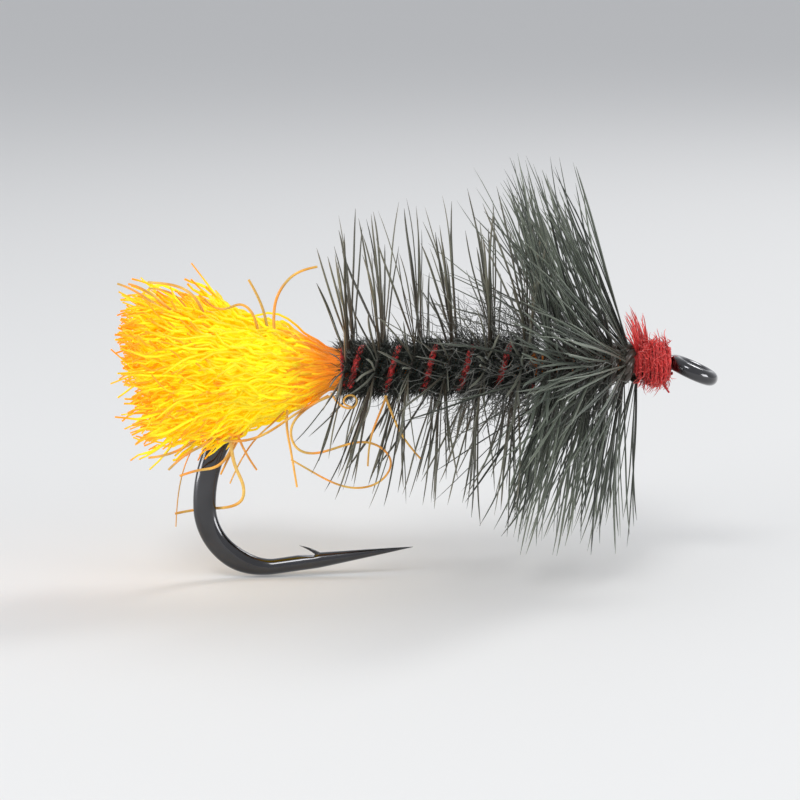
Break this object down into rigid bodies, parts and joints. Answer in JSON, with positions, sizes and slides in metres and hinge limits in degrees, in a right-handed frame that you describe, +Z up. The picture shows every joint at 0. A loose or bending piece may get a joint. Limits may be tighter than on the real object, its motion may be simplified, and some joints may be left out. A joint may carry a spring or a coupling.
{
  "type": "dry fly",
  "caption": "Palmered fishing fly: flared yarn tail, ribbed herl body, swept collar hackle and thread head, tied on a down-eyed, forged, barbed single hook.",
  "frame": {"origin": "centre of the bore of the hook's eye", "axes": "+X forward along the hook's shank towards the eye, +Z up, away from the hook's point, +Y to the fly's left"},
  "size_m": [0.0195, 0.0133, 0.0135],
  "materials": {
    "hook_wire": "bright black nickel plate over forged steel wire",
    "tail_yarn": "matt, fluorescent, teased out fibres",
    "loose_yarn": "matt, fluorescent, single crimped fibres",
    "red_thread": "satin, slightly fuzzy floss and thread",
    "black_thread": "waxed thread, satin",
    "herl": "matt, short flue with a faint green sheen",
    "body_hackle": "satin feather barbs with a grey sheen",
    "collar_hackle": "satin feather barbs with an olive grey sheen",
    "quill": "satin keratin"
  },
  "bodies": {
    "root": {"hook": "hook_wire", "thread_base": "red_thread", "tail_yarn_butt": "tail_yarn", "tail_binding": "red_thread", "loose_tail_strands": "loose_yarn", "rib_floss": "red_thread", "body_tie_off": "black_thread", "collar_quill_butt": "quill", "thread_head": "red_thread", "whip_finish": "red_thread", "rib_floss_end": "red_thread", "thread_tag": "red_thread", "tail_ply_1": "tail_yarn", "tail_ply_2": "tail_yarn", "tail_ply_3": "tail_yarn", "tail_ply_4": "tail_yarn", "tail_ply_5": "tail_yarn", "tail_ply_6": "tail_yarn", "tail_ply_7": "tail_yarn", "body_herl_1": "herl", "body_herl_2": "herl", "body_herl_3": "herl", "body_herl_4": "herl", "palmer_hackle_turn_1": "body_hackle", "palmer_hackle_turn_2": "body_hackle", "palmer_hackle_turn_3": "body_hackle", "palmer_hackle_turn_4": "body_hackle", "palmer_hackle_turn_5": "body_hackle", "collar_hackle_turn_1": "collar_hackle", "collar_hackle_turn_2": "collar_hackle", "collar_hackle_turn_3": "collar_hackle", "collar_hackle_turn_4": "collar_hackle", "collar_hackle_turn_5": "collar_hackle", "collar_hackle_turn_6": "collar_hackle"}
  },
  "joints": []
}
